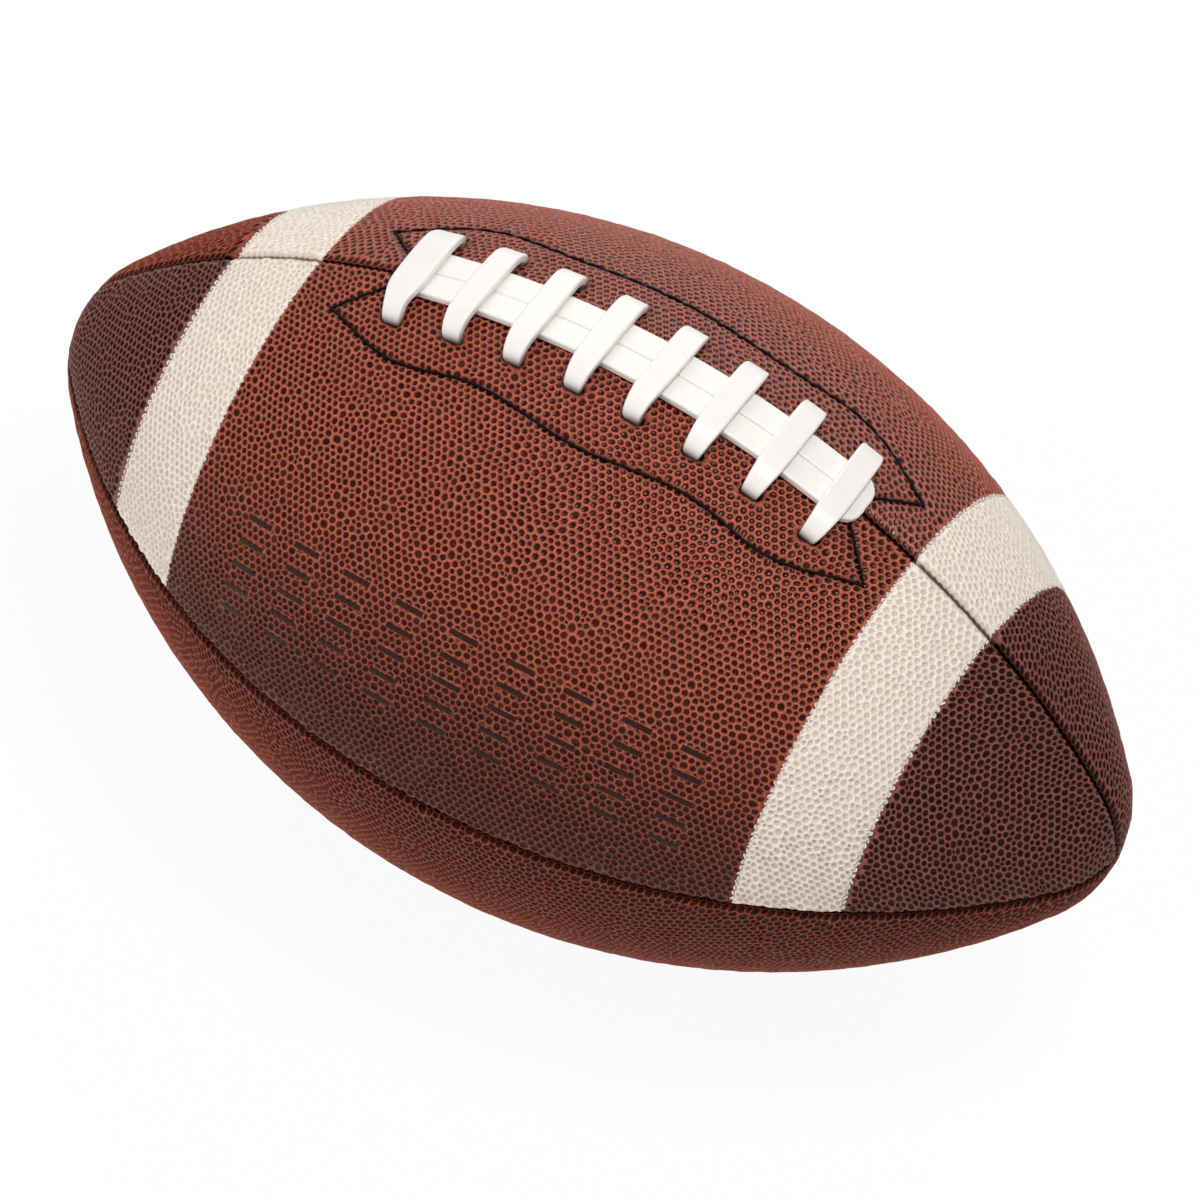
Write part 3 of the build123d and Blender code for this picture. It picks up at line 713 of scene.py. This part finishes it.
def new_piece(name, points, faces, material, node):
    """A smooth mesh piece in millimetres that stands for a CAD node."""
    mesh = bpy.data.meshes.new(name)
    mesh.from_pydata((np.asarray(points) * MM).tolist(), [], faces)
    mesh.polygons.foreach_set("use_smooth", np.ones(len(faces), bool))
    mesh.materials.append(material)
    piece = bpy.data.objects.new(name, mesh)
    bpy.context.scene.collection.objects.link(piece)
    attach(piece, "root")
    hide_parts(node)
    return piece


def rods(paths, profiles):
    """Points and faces of closed rods: each path is a list of points with two cross directions, and each
    profile holds the section's two coordinates at every step."""
    points, faces = [], []
    for (middles, ups, sides), sections in zip(paths, profiles):
        count = sections.shape[1]
        start = len(points)
        for middle, up, side, section in zip(middles, ups, sides, sections):
            points += (middle + section[:, :1] * side + section[:, 1:] * up).tolist()
        for ring in range(len(middles) - 1):
            for i in range(count):
                j = (i + 1) % count
                low = start + ring * count
                faces.append((low + i, low + j, low + count + j, low + count + i))
        last = start + (len(middles) - 1) * count
        faces.append(tuple(range(start + count - 1, start - 1, -1)))
        faces.append(tuple(range(last, last + count)))
    return points, faces


def resampled(line, step):
    """Points at an even spacing along a line."""
    run = np.concatenate([[0], np.cumsum(np.linalg.norm(np.diff(line, axis=0), axis=1))])
    places = spaced(0, run[-1], step)
    return np.stack([np.interp(places, run, line[:, axis]) for axis in range(line.shape[1])], 1), places


def thread_frames(middles, ups):
    """Cross directions of a thread: up off the leather, and sideways."""
    heading = np.gradient(middles, axis=0)
    heading /= np.linalg.norm(heading, axis=1)[:, None]
    sides = np.cross(ups, heading)
    sides /= np.linalg.norm(sides, axis=1)[:, None]
    return middles, np.cross(heading, sides), sides


def two_ply(places, radius, lay):
    """Sections of a two-ply thread that turns once in each lay."""
    turn = np.linspace(0, 2 * math.pi, 10, endpoint=False)
    swell = 1 + 0.16 * np.cos(2 * (turn[None] - 2 * math.pi * places[:, None] / lay))
    return radius * swell[..., None] * np.stack([np.cos(turn), np.sin(turn)], 1)


black_thread = twisted_thread("black_thread", BLACK_THREAD)
for panel, line in facing_lines.items():
    side = panel.split("_")[0]
    line, places = resampled(line, 0.4)
    dip = np.abs(np.cos(math.pi * places / FACING_STITCH)) ** 6
    low, high = (on_ball(panel, line[:, 0], line[:, 1], lift - FACING_THREAD_SINK * (1 + dip))
                 for lift in (0, 1))
    frames = thread_frames(low, high - low)
    points, faces = rods([frames], [two_ply(places, FACING_THREAD_RADIUS, FACING_THREAD_LAY)])
    new_piece(f"{side}_facing_thread", points, faces, black_thread, f"{side}_facing_stitches")

# Stripe stitching: a row of small running stitches of pale thread along each edge of a stripe,
# laid on the joint and pulled into the pebbles, so the edge shows as a fine dotted line.
PALE_THREAD = "#f0e6da"
EDGE_STITCH_PITCH = 1.7
EDGE_STITCH_LENGTH = 1.15
EDGE_STITCH_RADIUS = 0.24
pale_thread = twisted_thread("pale_thread", PALE_THREAD)
share = np.linspace(0, 1, 5)
for panel in SEAM_SIDE:
    side = panel.split("_")[0]
    for end_name, (stripe, end) in ENDS.items():
        paths, profiles = [], []
        for edge in (-1, 1):
            joint = end_line(panel, stripe, edge * (STRIPE_WIDTH / 2 + 0.1))
            reach = float(half_widths(joint(np.zeros(1)))[0][0]) - 1.0
            for w in spaced(-reach, reach, EDGE_STITCH_PITCH):
                line = w + (share - 0.5) * EDGE_STITCH_LENGTH
                bow = 0.3 * np.sin(math.pi * share) - 0.32
                low, high = (on_ball(panel, joint(line), line, bow + lift) for lift in (0, 1))
                paths.append(thread_frames(low, high - low))
                profiles.append(two_ply(share, EDGE_STITCH_RADIUS, 1.2)[:, ::2])
        points, faces = rods(paths, profiles)
        new_piece(f"{side}_{end_name}_stripe_thread", points, faces, pale_thread,
                  f"{side}_{end_name}_stripe_stitching")

# Laces: flat strips of white vinyl with soft edges. The long one is doubled along the seam, with
# a flat turn at the right and both ends tucked under the first bar. The other crosses it in eight
# bars, goes down through the slots and slants to the next bar under the facing.
LACE_WHITE = "#ebe8e3"
SLOT_SHADE_COLOUR = "#1c1310"
LACE_WIDTH = 6.6
LACE_THICKNESS = 2.0
LACE_GAP = 0.15
LANE_Y = 3.6
LANE_WIDTH = 7.15
RUN_DEPTH = 5.75
FIRST_BAR_SHARE = 1.3
TURN_SHARE = 0.78


def moulded_vinyl(name, hex_code):
    """Smooth vinyl strip with a satin skin, with painted shade where it goes down into the slots."""
    material, tree, shader, place = start_material(name, 0.42)
    skin = add_node(tree, "ShaderNodeTexNoise", {"Scale": 1 / (3 * MM), "Detail": 4.0}, {"Vector": place})
    shade = patterned(tree, shader, hex_code, skin.outputs["Fac"], 0.06, 0.08, 0.2)
    # Painted shade where the lace goes down into a slot.
    slot_shade = add_node(tree, "ShaderNodeAttribute", {"attribute_name": "slot_shade"}).outputs["Fac"]
    slot_shaded = add_node(tree, "ShaderNodeMixRGB", {"Color2": colour(SLOT_SHADE_COLOUR)}, {"Fac": slot_shade, "Color1": shade})
    tree.links.new(slot_shaded.outputs["Color"], shader.inputs["Base Color"])
    return material


def rounded(values, times):
    """Cut the corners of a run of control values until they make a smooth line."""
    values = np.asarray(values, float)
    for _ in range(times):
        cut = np.stack([0.75 * values[:-1] + 0.25 * values[1:], 0.25 * values[:-1] + 0.75 * values[1:]], 1)
        values = np.concatenate([values[:1], cut.reshape(-1, values.shape[1]), values[-1:]])
    return values


CORNER = np.array((0.17, 0.5))
CORNER_TURNS = np.radians((0, 22, 45, 68, 90))
corner_arc = np.array([(1, -0.6), *zip(np.cos(CORNER_TURNS), np.sin(CORNER_TURNS)), (-0.6, 1)])
quarter = 1 - CORNER + CORNER * corner_arc
strip_section = np.concatenate([quarter, quarter[::-1] * (-1, 1), -quarter, quarter[::-1] * (1, -1)])


def lace_strip(name, node, controls):
    """A flat lace through control points, each with the strip's sideways direction, its width, its
    thickness and its painted shade where it goes into a slot."""
    smooth = rounded(controls, 4)
    middles, sides, sizes, slot_shade = smooth[:, :3], smooth[:, 3:6], smooth[:, 6:8], smooth[:, 8]
    heading = np.gradient(middles, axis=0)
    heading /= np.linalg.norm(heading, axis=1)[:, None]
    sides = sides - (sides * heading).sum(1)[:, None] * heading
    sides /= np.linalg.norm(sides, axis=1)[:, None]
    points, faces = rods([(middles, np.cross(heading, sides), sides)], [strip_section * sizes[:, None] / 2])
    piece = new_piece(name, points, faces, lace_vinyl, node)
    slot_shade = np.repeat(slot_shade, len(strip_section)).astype(np.float32)
    piece.data.attributes.new("slot_shade", "FLOAT", "POINT").data.foreach_set("value", slot_shade)


def bar_frame(x):
    """Foot of a bar on the seam, and the directions along the ball, to the back and away from it."""
    turn = math.asin(x / SIDE_RADIUS)
    foot = np.array([x, 0, SIDE_RADIUS * math.cos(turn) + SIDE_CENTRE])
    along = np.array([math.cos(turn), 0, -math.sin(turn)])
    up = np.array([math.sin(turn), 0, math.cos(turn)])
    return foot, along, np.array([0, 1.0, 0]), up


def leg(girth, turn, height):
    """A lace leg's distance from the seam's plane, and its rise, at a height off the leather."""
    return (girth + height) * math.sin(turn), (girth + height) * math.cos(turn) - girth


lace_vinyl = moulded_vinyl("lace_vinyl", LACE_WHITE)
rng = np.random.default_rng(11)
controls = []
for x in BAR_X:
    foot, along, back, up = bar_frame(x)
    girth = (foot @ np.array([0, 0, 1])) / up[2]
    turn = SLOT_FROM_SEAM / girth
    sway = rng.normal(0, 0.25, 2)
    top = 1.5 * LACE_THICKNESS + 2 * LACE_GAP
    run = leg(girth, turn, -RUN_DEPTH)
    # Half a bar, from its run under the facing up to the seam: distance from the seam, height, width
    # at the back, width at the front, thickness, painted slot shade.
    half = [(run[0] - 6, run[1], 1.0, 1.0, 1.0, 1),
            (*run, 1.0, 1.0, 1.0, 1),
            (*leg(girth, turn, -2.8), 0.6, 0.6, 1.0, 1),
            (*leg(girth, turn, -0.4), 0.62, 0.62, 1.1, 0.9),
            (*leg(girth, turn, 1.4), 0.86, 0.72, 1.1, 0),
            (11.6, top - 0.6, 0.98, 0.86, 1.05, 0),
            (7.5, top, 1.0, 0.98, 1.0, 0),
            (0, top + 0.05, 1.0, 1.0, 0.95, 0)]
    section = [(y, z, back_width, *rest) for y, z, back_width, _, *rest in half]
    section += [(-y, z, front_width, *rest) for y, z, _, front_width, *rest in half[-2::-1]]
    for y, z, width, thick, slot_shade in section:
        shift = sway[0] if y > 0 else sway[1]
        shift = shift * min(1, abs(y) / 9.6) if z > 0 else 0
        width *= FIRST_BAR_SHARE if x == BAR_X[0] and z > 1.5 and y > -8 else 1
        middle = foot + back * y + up * z + along * shift
        controls.append([*middle, *along, LACE_WIDTH * width, LACE_THICKNESS * thick, slot_shade])
lace_strip("cross_lace_strip", "cross_lace", controls)

lift = LACE_GAP + LACE_THICKNESS / 2
lane = []
foot, along, back, up = bar_frame(BAR_X[0] - 0.5)
for height in (-5.0, -1.0, lift):
    lane.append((foot + up * height, back))
for x in np.linspace(BAR_X[0] + 3.5, BAR_X[-1] - 1.0, 12):
    foot, along, back, up = bar_frame(x)
    lane.append((foot + up * lift, back))
controls = [[*(place - side * LANE_Y), *side, LANE_WIDTH, LACE_THICKNESS, 0] for place, side in lane]
foot, along, back, up = bar_frame(BAR_X[-1])
for turn in np.radians([-72, -48, -24, 0, 24, 48, 72]):
    out = TURN_SHARE * along * math.cos(turn) + back * math.sin(turn)
    square = (math.cos(turn) ** 4 + math.sin(turn) ** 4) ** -0.25
    middle = foot + up * lift + out * LANE_Y * square
    controls.append([*middle, *-out, LANE_WIDTH * square, LACE_THICKNESS, 0])
for place, side in lane[::-1]:
    controls.append([*(place + side * LANE_Y), *-side, LANE_WIDTH, LACE_THICKNESS, 0])
lace_strip("long_lace_strip", "long_lace", controls)

# Studio: a white floor under the ball, a soft lamp above it, a very large one in front to the left
# that isn't seen in the leather's shine, one behind, and an even dim surround.
FLOOR_WHITE = "#ffffff"
FLOOR_SIZE = 30.0
FLOOR_GAP = 0.5 * MM
FLOOR_GLOW = 0.93
SURROUND = 0.25
bpy.ops.mesh.primitive_plane_add(size=FLOOR_SIZE, location=(0, 0, cad_box[0][2] - FLOOR_GAP))
floor = bpy.context.object
floor.name = "floor"
bpy.ops.object.transform_apply(location=True)
material = bpy.data.materials.new("studio_paper")
material.use_nodes = True
tree = material.node_tree
shader = tree.nodes["Principled BSDF"]
shader.inputs["Base Color"].default_value = colour(FLOOR_WHITE)
shader.inputs["Roughness"].default_value = 0.9
rays = add_node(tree, "ShaderNodeLightPath")
seen = add_node(tree, "ShaderNodeMath", {"operation": "MAXIMUM"},
                {0: rays.outputs["Is Camera Ray"], 1: rays.outputs["Is Glossy Ray"]})
seen = add_node(tree, "ShaderNodeMath", {"operation": "MAXIMUM"},
                {0: seen.outputs["Value"], 1: rays.outputs["Is Transmission Ray"]})
share = add_node(tree, "ShaderNodeMath", {"operation": "MULTIPLY", 1: FLOOR_GLOW},
                 {0: seen.outputs["Value"]})
white = add_node(tree, "ShaderNodeEmission", {"Color": (1, 1, 1, 1), "Strength": 1.0})
mixed = add_node(tree, "ShaderNodeMixShader", {},
                 {0: share.outputs["Value"], 1: shader.outputs["BSDF"], 2: white.outputs["Emission"]})
tree.links.new(mixed.outputs["Shader"], tree.nodes["Material Output"].inputs["Surface"])
floor.data.materials.append(material)

world = bpy.data.worlds.new("studio")
bpy.context.scene.world = world
world.use_nodes = True
world.node_tree.nodes["Background"].inputs["Color"].default_value = (1, 1, 1, 1)
world.node_tree.nodes["Background"].inputs["Strength"].default_value = SURROUND
LAMPS = {
    "key": ((0.3, -0.06, 1.25), 0.4, 10.3),
    "fill": ((-1.0, -1.8, 0.9), 2.5, 31.0),
    "rim": ((-0.6, 1.4, 0.9), 1.0, 9.5),
}
for name, (place, size, power) in LAMPS.items():
    bpy.ops.object.light_add(type="AREA", location=place)
    lamp = bpy.context.object
    lamp.name = name
    lamp.data.size = size
    lamp.data.energy = power
    lamp.visible_glossy = name != "fill"
    lamp.rotation_euler = (-Vector(place)).to_track_quat("-Z", "Y").to_euler()

# Camera: a long lens, from the front and above with the left end turned up.
CAMERA_DISTANCE = 1.9132
CAMERA_TURN = math.radians(21.49)
CAMERA_HEIGHT = math.radians(50.15)
CAMERA_ROLL = math.radians(-10.92)
CAMERA_AIM = Vector((0.00335, -0.00179, -0.00242))
CAMERA_LENS = 245.5
level = math.cos(CAMERA_HEIGHT)
toward = Vector((math.sin(CAMERA_TURN) * level, -math.cos(CAMERA_TURN) * level, math.sin(CAMERA_HEIGHT)))
bpy.ops.object.camera_add(location=CAMERA_AIM + toward * CAMERA_DISTANCE)
camera = bpy.context.object
camera.rotation_euler = toward.to_track_quat("Z", "Y").to_euler()
camera.rotation_euler.rotate_axis("Z", -CAMERA_ROLL)
camera.data.lens = CAMERA_LENS
camera.data.sensor_width = 36.0
bpy.context.scene.camera = camera
bpy.context.scene.view_settings.view_transform = "Standard"
